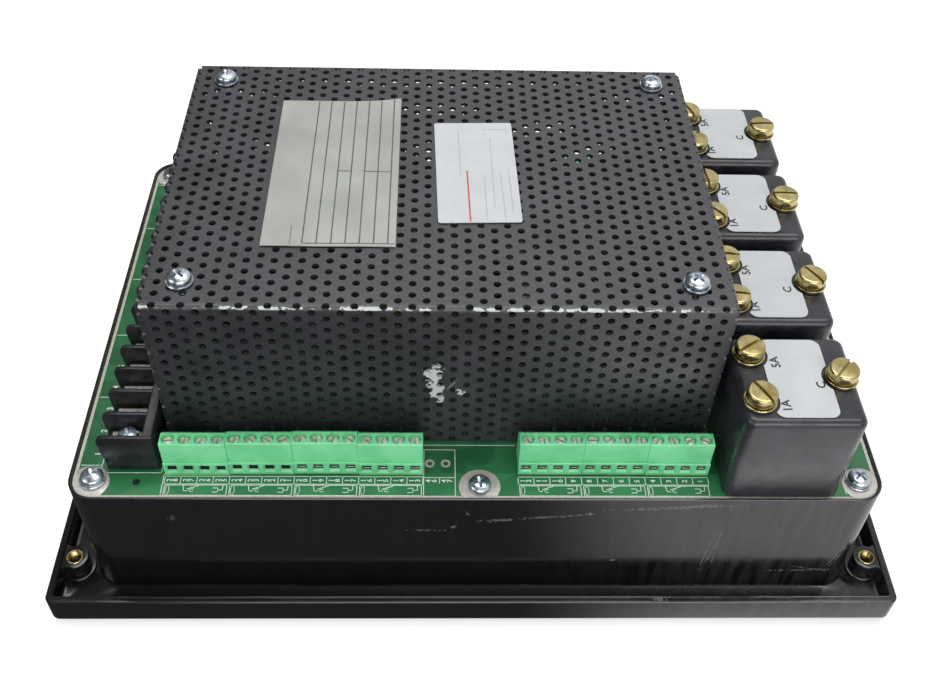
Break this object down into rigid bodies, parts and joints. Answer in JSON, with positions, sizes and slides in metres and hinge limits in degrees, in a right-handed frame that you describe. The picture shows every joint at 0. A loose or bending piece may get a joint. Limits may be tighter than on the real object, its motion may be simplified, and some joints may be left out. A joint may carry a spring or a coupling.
{
  "type": "protection relay",
  "caption": "Panel-mounted protection relay with a bezel, circuit board rear with terminal blocks, current inputs and a perforated cover, lying face down.",
  "frame": {"origin": "under the middle of the bezel, on the plane that it lies on", "axes": "+X along the relay's long side towards the current transformers, +Y along its short side, +Z from the bezel's face up to the rear"},
  "size_m": [0.2862, 0.1906, 0.1199],
  "materials": {
    "black_moulding": "glossy black moulding with fine scratches",
    "brass": "bare brass, slightly dull",
    "faceplate_laminate": "matt dark grey",
    "clear_window": "smooth, clear",
    "display_module": "dark yellow-green screen, unlit",
    "key_cap": "matt grey",
    "circuit_board": "green solder mask, satin",
    "zinc_plated_steel": "zinc plated, bright",
    "green_terminal_plastic": "satin light green",
    "black_strip_plastic": "satin black",
    "potting_resin": "satin dark grey",
    "label_film": "matt white label",
    "powder_coated_sheet": "satin black powder coat, chipped along its front fold",
    "nameplate_foil": "satin silver-grey foil",
    "core_steel": "dull laminated steel",
    "coil_tape": "amber tape over wire"
  },
  "bodies": {
    "relay": {"housing": "black_moulding", "threaded_insert_1": "brass", "threaded_insert_2": "brass", "threaded_insert_3": "brass", "threaded_insert_4": "brass", "faceplate": "faceplate_laminate", "display_window": "clear_window", "display_module": "display_module", "front_board": "circuit_board", "processor_board": "circuit_board", "rear_board": "circuit_board", "rear_board_screw_1": "zinc_plated_steel", "rear_board_screw_2": "zinc_plated_steel", "rear_board_screw_3": "zinc_plated_steel", "rear_board_screw_4": "zinc_plated_steel", "rear_board_screw_5": "zinc_plated_steel", "rear_board_screw_6": "zinc_plated_steel", "terminal_block_front_1": "green_terminal_plastic", "terminal_block_front_2": "green_terminal_plastic", "terminal_block_front_3": "green_terminal_plastic", "terminal_block_front_4": "green_terminal_plastic", "terminal_block_back_1": "green_terminal_plastic", "terminal_block_back_2": "green_terminal_plastic", "barrier_strip": "black_strip_plastic", "barrier_screw": "zinc_plated_steel", "current_transformer_1": "potting_resin", "current_transformer_2": "potting_resin", "current_transformer_3": "potting_resin", "current_transformer_4": "potting_resin", "ct_screw_1_1": "brass", "ct_screw_1_2": "brass", "ct_screw_1_3": "brass", "ct_screw_2_1": "brass", "ct_screw_2_2": "brass", "ct_screw_2_3": "brass", "ct_screw_3_1": "brass", "ct_screw_3_2": "brass", "ct_screw_3_3": "brass", "ct_screw_4_1": "brass", "ct_screw_4_2": "brass", "ct_screw_4_3": "brass", "ct_label_1": "label_film", "ct_label_2": "label_film", "ct_label_3": "label_film", "ct_label_4": "label_film", "perforated_cover": "powder_coated_sheet", "cover_screw_1": "zinc_plated_steel", "cover_screw_2": "zinc_plated_steel", "cover_screw_3": "zinc_plated_steel", "cover_screw_4": "zinc_plated_steel", "nameplate": "nameplate_foil", "support_label": "label_film", "transformer_core": "core_steel", "transformer_winding": "coil_tape"},
    "key_01_body": {"key_01": "key_cap"},
    "key_02_body": {"key_02": "key_cap"},
    "key_03_body": {"key_03": "key_cap"},
    "key_04_body": {"key_04": "key_cap"},
    "key_05_body": {"key_05": "key_cap"},
    "key_06_body": {"key_06": "key_cap"}
  },
  "joints": [
    {"name": "key_01_press", "type": "slide", "parent": "relay", "child": "key_01_body", "axis": [0, 0, 1], "range_m": [0, 0.001], "stiffness_N_per_m": 400, "springref_m": -0.0015},
    {"name": "key_02_press", "type": "slide", "parent": "relay", "child": "key_02_body", "axis": [0, 0, 1], "range_m": [0, 0.001], "stiffness_N_per_m": 400, "springref_m": -0.0015},
    {"name": "key_03_press", "type": "slide", "parent": "relay", "child": "key_03_body", "axis": [0, 0, 1], "range_m": [0, 0.001], "stiffness_N_per_m": 400, "springref_m": -0.0015},
    {"name": "key_04_press", "type": "slide", "parent": "relay", "child": "key_04_body", "axis": [0, 0, 1], "range_m": [0, 0.001], "stiffness_N_per_m": 400, "springref_m": -0.0015},
    {"name": "key_05_press", "type": "slide", "parent": "relay", "child": "key_05_body", "axis": [0, 0, 1], "range_m": [0, 0.001], "stiffness_N_per_m": 400, "springref_m": -0.0015},
    {"name": "key_06_press", "type": "slide", "parent": "relay", "child": "key_06_body", "axis": [0, 0, 1], "range_m": [0, 0.001], "stiffness_N_per_m": 400, "springref_m": -0.0015}
  ]
}
